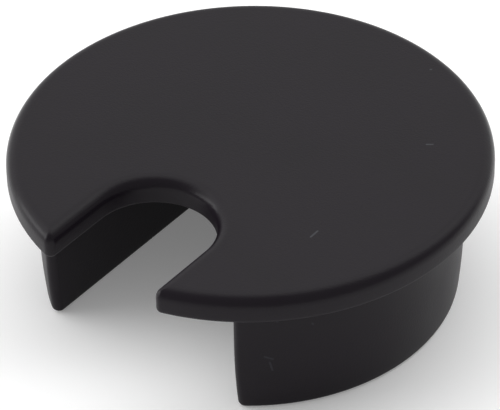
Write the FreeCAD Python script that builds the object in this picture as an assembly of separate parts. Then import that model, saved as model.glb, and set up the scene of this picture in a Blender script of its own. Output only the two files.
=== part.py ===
"""Desk grommet: a loose cover cap keyed into a flanged sleeve that lines a round hole in a desk top.

Millimetres. +Z is up. The origin is on the hole's axis, in the plane of the desk top, which is
the underside of the cover. The cable notch and the cable channel both open towards -Y.
"""

import FreeCAD
import Part
import math
import os

from FreeCAD import Vector

# Cover plate
COVER_R = 33.75
COVER_T = 4.1
RIM_ROUND = 1.85
RIM_LOWER_ROUND = 0.7
HORN_CORNER_R = 1.0

# U-shaped cable notch, cut in from the rim and ending in a half circle
NOTCH_HALF_W = 8.75
NOTCH_CENTRE_Y = -21.55

# Shelled underside of the cap
LIP_W = 1.1
SHOULDER_W = 1.8
DECK_T = 2.2
INNER_CORNER_R = 0.3

# Flange of the sleeve, nested inside the cap's lip
FLANGE_T = 1.0
FIT_GAP = 0.2

# Spigot of the sleeve: a true cylinder at the top, then a gentle lead-in taper
SPIGOT_R = 29.8
SPIGOT_DEPTH = 18.8
LAND_DEPTH = 8.0
TAPER = 0.6
WALL = 2.0
MOUTH_CORNER_R = 1.0
BOTTOM_ROUND = 0.8

# Straight-sided cable channel across the spigot, closed at the back
CHANNEL_HALF_W = 15.55
CHANNEL_BACK_CORNER_R = 1.0
CHANNEL_BACK_WALL = 2.6

# D-shaped pockets either side of the channel, and the cap's collars that plug into them
POCKET_CORNER_R = 1.2
COLLAR_WALL = 1.2
COLLAR_DEPTH = 5.0

# Underside of the cap's deck
DECK_Z = COVER_T - DECK_T

# Slack for comparing the positions of edges
TOL = 1e-6


def mirrored(point):
    """The same point on the other side of the plane X = 0."""
    return Vector(-point.x, point.y, point.z)


def arc(start, middle, end):
    return Part.Arc(start, middle, end).toShape()


def line(start, end):
    return Part.LineSegment(start, end).toShape()


def prism(wire, z_low, z_high):
    """The solid that a flat wire sweeps between two heights."""
    face = Part.Face(wire)
    face.translate(Vector(0, 0, z_low))
    return face.extrude(Vector(0, 0, z_high - z_low))


def notched_disc(inset):
    """The cover's plan outline, moved inwards by inset all round, the notch's sides included."""
    radius = COVER_R - inset
    half_w = NOTCH_HALF_W + inset
    corner_r = max(HORN_CORNER_R - inset, INNER_CORNER_R)
    corner_x = half_w + corner_r
    corner_y = -math.sqrt((radius - corner_r) ** 2 - corner_x**2)
    turn = math.atan2(corner_y, corner_x)
    half_turn = (turn - math.pi) / 2
    on_rim = Vector(radius * math.cos(turn), radius * math.sin(turn), 0)
    tip = Vector(corner_x + corner_r * math.cos(half_turn), corner_y + corner_r * math.sin(half_turn), 0)
    on_side = Vector(half_w, corner_y, 0)
    round_end = Vector(half_w, NOTCH_CENTRE_Y, 0)
    return Part.Wire([
        arc(on_rim, Vector(0, radius, 0), mirrored(on_rim)),
        arc(mirrored(on_rim), mirrored(tip), mirrored(on_side)),
        line(mirrored(on_side), mirrored(round_end)),
        arc(mirrored(round_end), Vector(0, NOTCH_CENTRE_Y + half_w, 0), round_end),
        line(round_end, on_side),
        arc(on_side, tip, on_rim),
    ])


def d_outline(side, inset):
    """The plan outline of one D-shaped pocket, moved inwards by inset. side is -1 or 1."""
    chord_x = CHANNEL_HALF_W + WALL + inset
    radius = SPIGOT_R - WALL - inset
    corner_r = max(POCKET_CORNER_R - inset, INNER_CORNER_R)
    corner_x = chord_x + corner_r
    corner_y = math.sqrt((radius - corner_r) ** 2 - corner_x**2)
    turn = math.atan2(corner_y, corner_x)
    half_turn = (turn + math.pi) / 2
    on_arc = Vector(radius * math.cos(turn), radius * math.sin(turn), 0)
    tip = Vector(corner_x + corner_r * math.cos(half_turn), corner_y + corner_r * math.sin(half_turn), 0)
    on_chord = Vector(chord_x, corner_y, 0)

    def place(point, up):
        return Vector(side * point.x, up * point.y, 0)

    return Part.Wire([
        arc(place(on_arc, -1), Vector(side * radius, 0, 0), place(on_arc, 1)),
        arc(place(on_arc, 1), place(tip, 1), place(on_chord, 1)),
        line(place(on_chord, 1), place(on_chord, -1)),
        arc(place(on_chord, -1), place(tip, -1), place(on_arc, -1)),
    ])


def flat_edges(shape, height):
    """The edges that lie wholly in the horizontal plane at this height."""
    def fits(edge):
        return abs(edge.BoundBox.ZMin - height) < TOL and abs(edge.BoundBox.ZMax - height) < TOL

    return [edge for edge in shape.Edges if fits(edge)]


def collar(side):
    """A D-shaped ring that hangs from the cap's deck into one pocket."""
    outer = prism(d_outline(side, FIT_GAP), -COLLAR_DEPTH, DECK_Z)
    return outer.cut(prism(d_outline(side, FIT_GAP + COLLAR_WALL), -COLLAR_DEPTH, DECK_Z))


def make_cap():
    """The rounded plate, hollowed from below for the flange and the core, with its two collars."""
    plate = prism(notched_disc(0), 0, COVER_T)
    plate = plate.makeFillet(RIM_ROUND, flat_edges(plate, COVER_T))
    plate = plate.makeFillet(RIM_LOWER_ROUND, flat_edges(plate, 0))
    flange_recess = prism(notched_disc(LIP_W), 0, FLANGE_T)
    core = prism(notched_disc(LIP_W + SHOULDER_W), FLANGE_T, DECK_Z)
    shell = plate.cut(flange_recess).cut(core)
    return shell.fuse([collar(-1), collar(1)]).removeSplitter()


def spigot_blank():
    """A solid spigot: the cylindrical land, then an arc tangent to it that draws in by TAPER."""
    run = SPIGOT_DEPTH - LAND_DEPTH
    bend_r = (run**2 + TAPER**2) / (2 * TAPER)
    half_angle = math.asin(run / bend_r) / 2
    bend_middle = Vector(
        SPIGOT_R - bend_r * (1 - math.cos(half_angle)), 0, -LAND_DEPTH - bend_r * math.sin(half_angle)
    )
    top = Vector(0, 0, 0)
    top_rim = Vector(SPIGOT_R, 0, 0)
    land_end = Vector(SPIGOT_R, 0, -LAND_DEPTH)
    foot_rim = Vector(SPIGOT_R - TAPER, 0, -SPIGOT_DEPTH)
    foot = Vector(0, 0, -SPIGOT_DEPTH)
    profile = Part.Wire([
        line(top, top_rim),
        line(top_rim, land_end),
        arc(land_end, bend_middle, foot_rim),
        line(foot_rim, foot),
        line(foot, top),
    ])
    return Part.Face(profile).revolve(Vector(0, 0, 0), Vector(0, 0, 1), 360)


def channel_corners(shape, y_low, y_high):
    """The upright edges in the channel's two side planes, between these two distances along Y."""
    def fits(edge):
        box = edge.BoundBox
        at_side = abs(abs(box.Center.x) - CHANNEL_HALF_W) < TOL
        return at_side and box.ZLength > WALL and y_low < box.Center.y < y_high

    return [edge for edge in shape.Edges if fits(edge)]


def channel_cutter():
    """The straight-sided space across the spigot: open at the front, closed by the back wall."""
    reach = SPIGOT_R + WALL
    corner = Vector(-CHANNEL_HALF_W, -reach, -SPIGOT_DEPTH)
    slab = Part.makeBox(2 * CHANNEL_HALF_W, 2 * reach, SPIGOT_DEPTH, corner)
    bore = Part.makeCylinder(SPIGOT_R - CHANNEL_BACK_WALL, SPIGOT_DEPTH, Vector(0, 0, -SPIGOT_DEPTH))
    front = Part.makeBox(2 * CHANNEL_HALF_W, reach, SPIGOT_DEPTH, corner)
    space = slab.common(bore).fuse(front).removeSplitter()
    return space.makeFillet(CHANNEL_BACK_CORNER_R, channel_corners(space, 0, reach))


def make_sleeve():
    """The spigot with its channel, the flange on top of it, and the two pockets through both."""
    spigot = spigot_blank().cut(channel_cutter())
    spigot = spigot.makeFillet(MOUTH_CORNER_R, channel_corners(spigot, -SPIGOT_R, 0))
    spigot = spigot.makeFillet(BOTTOM_ROUND, flat_edges(spigot, -SPIGOT_DEPTH))
    sleeve = prism(notched_disc(LIP_W + FIT_GAP), 0, FLANGE_T).fuse(spigot)
    for side in (-1, 1):
        sleeve = sleeve.cut(prism(d_outline(side, 0), -SPIGOT_DEPTH, FLANGE_T))
    return sleeve.removeSplitter()


def main():
    os.makedirs("parts", exist_ok=True)
    for node, shape in (("cap", make_cap()), ("sleeve", make_sleeve())):
        print(node, len(shape.Solids), "solid, valid", shape.isValid(), "volume", round(shape.Volume))
        shape.Solids[0].exportStep(f"parts/{node}.step")


main()
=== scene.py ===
"""Looks of the desk grommet: finished meshes and materials for its cap and its sleeve.

Metres, in the CAD model's own frame: +Z is up, the origin is on the hole's axis in the plane of the
desk top, and the cable notch and the cable channel open towards -Y.
"""

import math

import bmesh
import bpy
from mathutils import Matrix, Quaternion, Vector


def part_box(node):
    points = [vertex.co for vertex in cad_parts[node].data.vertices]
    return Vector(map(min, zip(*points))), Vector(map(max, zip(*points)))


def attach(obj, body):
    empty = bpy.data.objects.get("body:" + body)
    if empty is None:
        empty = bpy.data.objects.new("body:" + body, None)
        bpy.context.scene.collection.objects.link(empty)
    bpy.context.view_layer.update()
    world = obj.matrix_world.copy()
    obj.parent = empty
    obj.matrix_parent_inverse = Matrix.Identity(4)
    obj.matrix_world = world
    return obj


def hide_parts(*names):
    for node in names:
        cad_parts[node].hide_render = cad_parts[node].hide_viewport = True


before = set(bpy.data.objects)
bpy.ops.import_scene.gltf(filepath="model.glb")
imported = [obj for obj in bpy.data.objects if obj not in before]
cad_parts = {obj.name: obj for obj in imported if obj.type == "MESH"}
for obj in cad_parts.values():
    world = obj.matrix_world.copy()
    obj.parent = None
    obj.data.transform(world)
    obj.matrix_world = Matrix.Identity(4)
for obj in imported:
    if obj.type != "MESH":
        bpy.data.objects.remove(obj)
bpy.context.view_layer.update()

cap_low, cap_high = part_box("cap")
sleeve_low, sleeve_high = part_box("sleeve")

MM = 0.001

# Heights, from the CAD model
TOP_Z = cap_high.z
COLLAR_FOOT_Z = cap_low.z
FLANGE_TOP_Z = sleeve_high.z
FOOT_Z = sleeve_low.z

# Cap
COVER_R = 33.75 * MM
RIM_ROUND = 1.85 * MM
RIM_LOWER_ROUND = 0.7 * MM
HORN_CORNER_R = 1.0 * MM
NOTCH_HALF_W = 8.75 * MM
NOTCH_CENTRE_Y = -21.55 * MM
LIP_W = 1.1 * MM
SHOULDER_W = 1.8 * MM
DECK_T = 2.2 * MM
COLLAR_WALL = 1.2 * MM
INNER_CORNER_R = 0.3 * MM

# Sleeve
FIT_GAP = 0.2 * MM
SPIGOT_R = 29.8 * MM
LAND_DEPTH = 8.0 * MM
TAPER = 0.6 * MM
WALL = 2.0 * MM
MOUTH_CORNER_R = 1.0 * MM
BOTTOM_ROUND = 0.8 * MM
CHANNEL_HALF_W = 15.55 * MM
CHANNEL_BACK_CORNER_R = 1.0 * MM
CHANNEL_BACK_WALL = 2.6 * MM
POCKET_CORNER_R = 1.2 * MM

# Moulded edges that the CAD model leaves sharp get this tiny round
EDGE_BREAK = 0.12 * MM

# A flat strip this wide keeps the shading of a rounded edge off the flat face beside it
STRIP_W = 0.3 * MM

# Steps along each stretch of an outline, and over each rounded edge
RIM_STEPS = 256
POCKET_RIM_STEPS = RIM_STEPS // 3
CHANNEL_BACK_STEPS = RIM_STEPS // 4
NOTCH_STEPS = 80
SIDE_STEPS = 16
CORNER_STEPS = 12
WIDE_ROUND_STEPS = 14
SMALL_ROUND_STEPS = 6
EDGE_BREAK_STEPS = 3
TAPER_STEPS = 8

# Edges that turn by more than this are shaded as sharp
SHARP_ANGLE = math.radians(35)

# Camera: where it stands, and how it is turned from facing the centre of the cover's top. Angles
# are in degrees, the distance is in metres, and the sensor and the lens are in millimetres.
CAMERA_AZIMUTH = 38.36
CAMERA_ELEVATION = 37.65
CAMERA_DISTANCE = 0.48214
CAMERA_PAN = 0.021
CAMERA_TILT = -1.024
CAMERA_ROLL = -1.016
SENSOR_W = 36.0
LENS = 251.76

# Studio. Each light has its azimuth and elevation, the width and height that it fills as seen from
# the grommet, all in degrees, and its radiance.
FLOOR_REACH = 8.0
FLOOR_WHITE = 0.9
FLOOR_GLOW = 0.15
TENT_GLOW = 0.47
LIGHT_DISTANCE = 2.5
LIGHTS = {
    "left_softbox": (302, 12, 46, 22, 3.6),
    "left_key": (295, 36, 40, 30, 1.3),
    "rear_panel": (212, 38, 115, 62, 0.64),
    "right_rear_panel": (150, 44, 34, 30, 0.65),
    "overhead_panel": (218, 73, 80, 36, 1.5),
}

# Plastic. Polish and dulling are taken from and added to the roughness. The dulling is whole where
# the surface's upward facing, from -1 to 1, is as low as DULLED_FACING.
BLACK = (0.0087, 0.0065, 0.0095)
ROUGHNESS = 0.41
SPECULAR = 0.15
EDGE_POLISH = 0.12
UNDER_EDGE_DULLING = 0.1
DULLED_FACING = -0.5

# Its mottling, grain and draw marks are noise with this many cycles in a metre. The mottling shifts
# the colour by a share of itself and the roughness by an amount, each as far up as down.
MOTTLE_SCALE = 90
MOTTLE_DETAIL = 3.0
MOTTLE_RANGE = (0.35, 0.65)
MOTTLE_SHADE = 0.07
MOTTLE_ROUGHNESS = 0.02
GRAIN_SCALE = 3500
GRAIN_DETAIL = 2.0
GRAIN_DEPTH = 0.022 * MM
DRAW_SCALE = 1400
DRAW_DETAIL = 1.0
DRAW_STRETCH = 0.03
DRAW_DEPTH = 0.002 * MM

# Scuffs, where the photograph shows them: short pale lines, each from one point to another in
# millimetres. Those on the cap lie on its flat top, so their points have no height. Those on the
# sleeve are at the front of the spigot.
SCUFF_W = 0.36 * MM
CAP_SCUFF_GREY = (0.031, 0.034, 0.037)
CAP_SCUFFS = [
    ((19.74, 14.18), (20.40, 14.67)),
    ((19.07, -11.48), (19.06, -9.91)),
    ((10.1, 28.6), (10.2, 28.7)),
]
SLEEVE_SCUFF_GREY = (0.013, 0.015, 0.017)
SLEEVE_SCUFFS = [
    ((20.8, -21.3, -3.05), (20.9, -21.25, -3.15)),
    ((24.0, -17.7, -4.25), (24.05, -17.6, -4.45)),
    ((19.6, -22.45, -9.15), (20.4, -21.7, -9.65)),
    ((20.1, -22.0, -10.25), (20.35, -21.75, -11.65)),
]


def arc(centre_x, centre_y, radius, start, end, steps):
    """Points along an arc, from its start up to but not including its end."""
    step = (end - start) / steps
    angles = [start + step * i for i in range(steps)]
    return [(centre_x + radius * math.cos(a), centre_y + radius * math.sin(a)) for a in angles]


def side(x, y_start, y_end):
    """Points along a line of constant x, from its start up to but not including its end."""
    step = (y_end - y_start) / SIDE_STEPS
    return [(x, y_start + step * i) for i in range(SIDE_STEPS)]


def notched_disc(inset):
    """The cover's plan outline, moved inwards by inset all round, the notch's sides included."""
    radius = COVER_R - inset
    half_w = NOTCH_HALF_W + inset
    corner_r = max(HORN_CORNER_R - inset, INNER_CORNER_R)
    corner_x = half_w + corner_r
    corner_y = -math.sqrt((radius - corner_r) ** 2 - corner_x**2)
    turn = math.atan2(corner_y, corner_x)
    return (
        arc(0, 0, radius, turn, math.pi - turn, RIM_STEPS)
        + arc(-corner_x, corner_y, corner_r, math.pi - turn, 2 * math.pi, CORNER_STEPS)
        + side(-half_w, corner_y, NOTCH_CENTRE_Y)
        + arc(0, NOTCH_CENTRE_Y, half_w, math.pi, 0, NOTCH_STEPS)
        + side(half_w, NOTCH_CENTRE_Y, corner_y)
        + arc(corner_x, corner_y, corner_r, math.pi, 2 * math.pi + turn, CORNER_STEPS)
    )


def pocket(hand, inset):
    """The outline of one D-shaped pocket, moved inwards by inset. hand is -1 or 1."""
    chord_x = CHANNEL_HALF_W + WALL + inset
    radius = SPIGOT_R - WALL - inset
    corner_r = max(POCKET_CORNER_R - inset, INNER_CORNER_R)
    corner_x = chord_x + corner_r
    corner_y = math.sqrt((radius - corner_r) ** 2 - corner_x**2)
    turn = math.atan2(corner_y, corner_x)
    points = (
        arc(0, 0, radius, -turn, turn, POCKET_RIM_STEPS)
        + arc(corner_x, corner_y, corner_r, turn, math.pi, CORNER_STEPS)
        + side(chord_x, corner_y, -corner_y)
        + arc(corner_x, -corner_y, corner_r, math.pi, 2 * math.pi - turn, CORNER_STEPS)
    )
    return [(hand * x, y) for x, y in points]


def spigot_wall(radius, inset):
    """The C-shaped outline of the spigot's wall, open at the mouth of the channel."""
    radius = radius - inset
    side_x = CHANNEL_HALF_W + inset
    mouth_r = MOUTH_CORNER_R - inset
    mouth_x = side_x + mouth_r
    mouth_y = -math.sqrt((radius - mouth_r) ** 2 - mouth_x**2)
    mouth_turn = math.atan2(mouth_y, mouth_x)
    inner_r = SPIGOT_R - CHANNEL_BACK_WALL + inset
    back_r = CHANNEL_BACK_CORNER_R + inset
    back_x = side_x - back_r
    back_y = math.sqrt((inner_r - back_r) ** 2 - back_x**2)
    back_turn = math.atan2(back_y, back_x)
    return (
        arc(0, 0, radius, mouth_turn, math.pi - mouth_turn, RIM_STEPS)
        + arc(-mouth_x, mouth_y, mouth_r, math.pi - mouth_turn, 2 * math.pi, CORNER_STEPS)
        + side(-side_x, mouth_y, back_y)
        + arc(-back_x, back_y, back_r, math.pi, math.pi - back_turn, CORNER_STEPS)
        + arc(0, 0, inner_r, math.pi - back_turn, back_turn, CHANNEL_BACK_STEPS)
        + arc(back_x, back_y, back_r, back_turn, 0, CORNER_STEPS)
        + side(side_x, back_y, mouth_y)
        + arc(mouth_x, mouth_y, mouth_r, math.pi, 2 * math.pi + mouth_turn, CORNER_STEPS)
    )


def spigot_radius(z):
    """The spigot's radius at a height: constant down the land, then drawing in along an arc."""
    run = -FOOT_Z - LAND_DEPTH
    bend_r = (run**2 + TAPER**2) / (2 * TAPER)
    below = max(-z - LAND_DEPTH, 0)
    return SPIGOT_R - bend_r + math.sqrt(bend_r**2 - below**2)


def rounded(inset, z, radius, steps, across=1, up=1):
    """(inset, z) pairs over a rounded edge, from its upright side to its flat side.

    inset and z are those of the sharp edge that is rounded off. across is the way from the upright
    side to the flat one, and up is 1 for an upper edge and -1 for a lower one.
    """
    angles = [math.pi / 2 * i / steps for i in range(steps + 1)]
    return [
        (inset + across * radius * (1 - math.cos(a)), z - up * radius * (1 - math.sin(a)))
        for a in angles
    ]


def broken(inset, z, across=1, up=1):
    """(inset, z) pairs over a moulded edge's tiny round, from its upright side to its flat side."""
    return rounded(inset, z, EDGE_BREAK, EDGE_BREAK_STEPS, across, up)


class Skin:
    """A closed mesh made of stacked rings joined by quads, and flat faces between rings."""

    def __init__(self):
        self.bm = bmesh.new()

    def bridge(self, first, second):
        """Quads between two rings with the same number of points."""
        count = len(first)
        for i in range(count):
            j = (i + 1) % count
            self.bm.faces.new((first[i], first[j], second[j], second[i]))

    def stack(self, outline, profile):
        """Rings of outline(inset) through the profile's (inset, z) pairs. Returns the two end rings."""
        rings = [[self.bm.verts.new((x, y, z)) for x, y in outline(inset)] for inset, z in profile]
        for first, second in zip(rings, rings[1:]):
            self.bridge(first, second)
        return rings[0], rings[-1]

    def fill(self, *rings):
        """A flat face inside the first ring, with the others as holes in it."""
        edges = [
            self.bm.edges.get((ring[i - 1], ring[i])) for ring in rings for i in range(len(ring))
        ]
        bmesh.ops.triangle_fill(self.bm, use_beauty=True, use_dissolve=False, edges=edges)

    def make(self, name):
        """The finished skin as an object, smooth except at its sharp edges."""
        bmesh.ops.recalc_face_normals(self.bm, faces=self.bm.faces)
        mesh = bpy.data.meshes.new(name)
        self.bm.to_mesh(mesh)
        self.bm.free()
        mesh.shade_smooth()
        mesh.set_sharp_from_angle(angle=SHARP_ANGLE)
        piece = bpy.data.objects.new(name, mesh)
        bpy.context.scene.collection.objects.link(piece)
        return piece


def add_cover_plate(skin):
    """The plate's outside and its hollowed underside. Returns the outline of the core's ceiling."""
    outside = [(RIM_LOWER_ROUND + STRIP_W, 0)]
    outside += rounded(0, 0, RIM_LOWER_ROUND, SMALL_ROUND_STEPS, up=-1)[::-1]
    outside += rounded(0, TOP_Z, RIM_ROUND, WIDE_ROUND_STEPS)
    outside += [(RIM_ROUND + STRIP_W, TOP_Z)]
    foot, top = skin.stack(notched_disc, outside)
    skin.fill(top)

    core_inset = LIP_W + SHOULDER_W
    inside = broken(LIP_W, 0, across=-1, up=-1)[::-1]
    inside += [(LIP_W, FLANGE_TOP_Z), (core_inset, FLANGE_TOP_Z), (core_inset, TOP_Z - DECK_T)]
    lip, ceiling = skin.stack(notched_disc, inside)
    skin.bridge(foot, lip)
    return ceiling


def add_collar(skin, hand):
    """One of the cap's two locating collars. Returns its outline where it joins the deck."""
    def outline(inset):
        return pocket(hand, inset)

    deck_z = TOP_Z - DECK_T
    inner = FIT_GAP + COLLAR_WALL
    outside = [(FIT_GAP, deck_z)] + broken(FIT_GAP, COLLAR_FOOT_Z, up=-1)
    inside = broken(inner, COLLAR_FOOT_Z, across=-1, up=-1)[::-1] + [(inner, deck_z)]
    root, outer_foot = skin.stack(outline, outside)
    inner_foot, inner_top = skin.stack(outline, inside)
    skin.bridge(outer_foot, inner_foot)
    skin.fill(inner_top)
    return root


def make_cap():
    skin = Skin()
    ceiling = add_cover_plate(skin)
    skin.fill(ceiling, add_collar(skin, -1), add_collar(skin, 1))
    return skin.make("cap_cover")


def add_spigot(skin):
    """The C-shaped wall of the spigot. Returns its outline at the flange and at the foot."""
    round_z = FOOT_Z + BOTTOM_ROUND
    bend_run = -LAND_DEPTH - round_z
    levels = [(0, 0.0), (0, -LAND_DEPTH)]
    levels += [(0, -LAND_DEPTH - bend_run * i / TAPER_STEPS) for i in range(1, TAPER_STEPS)]
    levels += rounded(0, FOOT_Z, BOTTOM_ROUND, SMALL_ROUND_STEPS, up=-1)
    rings = iter([spigot_radius(z) for _, z in levels])
    return skin.stack(lambda inset: spigot_wall(next(rings), inset), levels)


def add_flange(skin):
    """The flange's rim. Returns its outline on the underside and on the upper side."""
    inset = LIP_W + FIT_GAP
    lower = broken(inset, 0, up=-1)[::-1]
    upper = broken(inset, FLANGE_TOP_Z)
    return skin.stack(notched_disc, lower + upper)


def add_pocket(skin, hand):
    """One open pocket, from the foot to the flange's upper side. Returns its two end outlines."""
    lower = broken(0, FOOT_Z, across=-1, up=-1)[::-1]
    upper = broken(0, FLANGE_TOP_Z, across=-1)
    return skin.stack(lambda inset: pocket(hand, inset), lower + upper)


def make_sleeve():
    skin = Skin()
    root, foot = add_spigot(skin)
    under, over = add_flange(skin)
    left_low, left_high = add_pocket(skin, -1)
    right_low, right_high = add_pocket(skin, 1)
    skin.fill(under, root)
    skin.fill(foot, left_low, right_low)
    skin.fill(over, left_high, right_high)
    return skin.make("sleeve_liner")


def direction(azimuth, elevation):
    """The unit vector from the grommet towards this azimuth and elevation, in degrees."""
    a, e = math.radians(azimuth), math.radians(elevation)
    return Vector((math.sin(a) * math.cos(e), -math.cos(a) * math.cos(e), math.sin(e)))


def make_camera():
    """A long lens about half a metre away, looking down over the notch's right-hand side."""
    data = bpy.data.cameras.new("camera")
    data.sensor_width = SENSOR_W
    data.lens = LENS
    camera = bpy.data.objects.new("camera", data)
    back = direction(CAMERA_AZIMUTH, CAMERA_ELEVATION)
    camera.location = Vector((0, 0, TOP_Z)) + back * CAMERA_DISTANCE
    turn = (-back).to_track_quat("-Z", "Y")
    turns = [((0, 1, 0), CAMERA_PAN), ((1, 0, 0), CAMERA_TILT), ((0, 0, 1), CAMERA_ROLL)]
    for axis, angle in turns:
        turn = turn @ Quaternion(axis, math.radians(angle))
    camera.rotation_mode = "QUATERNION"
    camera.rotation_quaternion = turn
    bpy.context.scene.collection.objects.link(camera)
    bpy.context.scene.camera = camera


def softbox(name, azimuth, elevation, width, height, radiance):
    """A soft light that faces the grommet. width and height are the angles that it fills."""
    across, up = (2 * LIGHT_DISTANCE * math.tan(math.radians(span) / 2) for span in (width, height))
    data = bpy.data.lights.new(name, "AREA")
    data.shape = "RECTANGLE"
    data.size = across
    data.size_y = up
    data.energy = radiance * math.pi * across * up
    light = bpy.data.objects.new(name, data)
    back = direction(azimuth, elevation)
    light.location = back * LIGHT_DISTANCE
    light.rotation_mode = "QUATERNION"
    light.rotation_quaternion = (-back).to_track_quat("-Z", "Y")
    light.visible_camera = False
    bpy.context.scene.collection.objects.link(light)


def make_floor():
    """A plain white table top that the sleeve's foot stands on."""
    mesh = bpy.data.meshes.new("floor")
    corners = [(-FLOOR_REACH, -FLOOR_REACH), (FLOOR_REACH, -FLOOR_REACH)]
    corners += [(FLOOR_REACH, FLOOR_REACH), (-FLOOR_REACH, FLOOR_REACH)]
    mesh.from_pydata([(x, y, FOOT_Z) for x, y in corners], [], [(0, 1, 2, 3)])
    floor = bpy.data.objects.new("floor", mesh)
    bpy.context.scene.collection.objects.link(floor)
    graph = Graph("floor_white")
    graph.surface({
        "Base Color": (FLOOR_WHITE, FLOOR_WHITE, FLOOR_WHITE, 1),
        "Roughness": 1.0,
        "Specular IOR Level": 0.0,
        "Emission Color": (1, 1, 1, 1),
        "Emission Strength": FLOOR_GLOW,
    })
    mesh.materials.append(graph.material)


def make_studio():
    """A floor in a dim white tent, with soft lights at the left, behind the grommet and overhead."""
    make_floor()
    for name, light in LIGHTS.items():
        softbox(name, *light)
    world = bpy.data.worlds.new("tent")
    world.use_nodes = True
    background = world.node_tree.nodes["Background"]
    background.inputs["Color"].default_value = (1, 1, 1, 1)
    background.inputs["Strength"].default_value = TENT_GLOW
    bpy.context.scene.world = world
    bpy.context.scene.view_settings.view_transform = "Standard"


class Graph:
    """Adds nodes to a material, with a socket or a plain value going into each named input."""

    def __init__(self, name):
        self.material = bpy.data.materials.new(name)
        self.material.use_nodes = True
        self.tree = self.material.node_tree
        self.tree.nodes.clear()

    def add(self, kind, inputs, output=0, **settings):
        node = self.tree.nodes.new(kind)
        for name, value in settings.items():
            setattr(node, name, value)
        for name, value in inputs.items():
            if isinstance(value, bpy.types.NodeSocket):
                self.tree.links.new(value, node.inputs[name])
            else:
                node.inputs[name].default_value = value
        return node.outputs[output]

    def surface(self, inputs):
        """The material's surface: a Principled shader with these inputs."""
        output = self.tree.nodes.new("ShaderNodeOutputMaterial")
        shade = self.add("ShaderNodeBsdfPrincipled", inputs)
        self.tree.links.new(shade, output.inputs["Surface"])

    def math(self, operation, first, second, clamp=False):
        inputs = {0: first, 1: second}
        return self.add("ShaderNodeMath", inputs, operation=operation, use_clamp=clamp)

    def vector(self, operation, first, second, output="Vector"):
        inputs = {0: first, 1: second}
        return self.add("ShaderNodeVectorMath", inputs, output, operation=operation)

    def blend(self, low, high, value, start, end):
        """A number that goes smoothly from low to high as value goes from start to end."""
        inputs = {"Value": value, "From Min": start, "From Max": end, "To Min": low, "To Max": high}
        return self.add("ShaderNodeMapRange", inputs, interpolation_type="SMOOTHSTEP")

    def noise(self, place, scale, detail):
        return self.add("ShaderNodeTexNoise", {"Vector": place, "Scale": scale, "Detail": detail})

    def scuff(self, place, start, end):
        """1 on a short scuff from start to end, in millimetres, and 0 outside its width."""
        start, end = Vector(start) * MM, Vector(end) * MM
        run = end - start
        offset = self.vector("SUBTRACT", place, start)
        share = self.vector("DOT_PRODUCT", offset, run / run.length_squared, "Value")
        share = self.math("MULTIPLY", share, 1.0, clamp=True)
        nearest = self.vector("MULTIPLY", run, share)
        distance = self.vector("DISTANCE", offset, nearest, "Value")
        return self.blend(1.0, 0.0, distance, SCUFF_W / 4, SCUFF_W / 2)


def black_plastic(name, scuffs, scuff_grey, draw_depth):
    """Matte black moulded plastic: fine spark-eroded grain, faint mottling, rubbed edges, scuffs.

    scuff_grey is what a scuff adds to the colour, and draw_depth is how deep the upright draw marks
    are that the mould left.
    """
    graph = Graph(name)
    place = graph.add("ShaderNodeTexCoord", {}, "Object")
    up = graph.add("ShaderNodeSeparateXYZ", {0: graph.add("ShaderNodeNewGeometry", {}, "Normal")}, "Z")
    grain = graph.noise(place, GRAIN_SCALE, GRAIN_DETAIL)
    mottle = graph.noise(place, MOTTLE_SCALE, MOTTLE_DETAIL)
    drawn = graph.vector("MULTIPLY", place, (1, 1, DRAW_STRETCH))
    draw_marks = graph.noise(drawn, DRAW_SCALE, DRAW_DETAIL)

    # Rounded upper edges, where the facing is neither up nor level, are rubbed a little smoother.
    # slope is greatest where up is a half.
    slope = graph.math("MULTIPLY", up, graph.math("SUBTRACT", 1.0, up))
    greatest_slope = 0.5 * (1.0 - 0.5)
    rubbed = graph.blend(0.0, EDGE_POLISH, slope, 0.0, greatest_slope)

    # Edges that turn downwards are out of the way of hands, and stay duller
    dulled = graph.blend(UNDER_EDGE_DULLING, 0.0, up, DULLED_FACING, 0.0)

    spread = MOTTLE_ROUGHNESS
    roughness = graph.blend(ROUGHNESS - spread, ROUGHNESS + spread, mottle, *MOTTLE_RANGE)
    roughness = graph.math("SUBTRACT", roughness, rubbed)
    roughness = graph.math("ADD", roughness, dulled)

    scuffed = 0.0
    for start, end in scuffs:
        scuffed = graph.math("MAXIMUM", scuffed, graph.scuff(place, start, end))
    shade = graph.blend(1 - MOTTLE_SHADE, 1 + MOTTLE_SHADE, mottle, *MOTTLE_RANGE)
    colour = graph.vector("MULTIPLY", BLACK, shade)
    colour = graph.vector("ADD", colour, graph.vector("MULTIPLY", scuff_grey, scuffed))

    bump = graph.add("ShaderNodeBump", {"Height": grain, "Distance": GRAIN_DEPTH})
    bump = graph.add("ShaderNodeBump", {"Height": draw_marks, "Distance": draw_depth, "Normal": bump})
    graph.surface({
        "Base Color": colour,
        "Roughness": roughness,
        "Specular IOR Level": SPECULAR,
        "Normal": bump,
    })
    return graph.material


def make_cap_plastic():
    scuffs = [[(x, y, TOP_Z / MM) for x, y in ends] for ends in CAP_SCUFFS]
    return black_plastic("cap_black_plastic", scuffs, CAP_SCUFF_GREY, 0.0)


def make_sleeve_plastic():
    return black_plastic("sleeve_black_plastic", SLEEVE_SCUFFS, SLEEVE_SCUFF_GREY, DRAW_DEPTH)


cap = make_cap()
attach(cap, "cap")
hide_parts("cap")
cap.data.materials.append(make_cap_plastic())

sleeve = make_sleeve()
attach(sleeve, "sleeve")
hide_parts("sleeve")
sleeve.data.materials.append(make_sleeve_plastic())

make_camera()
make_studio()
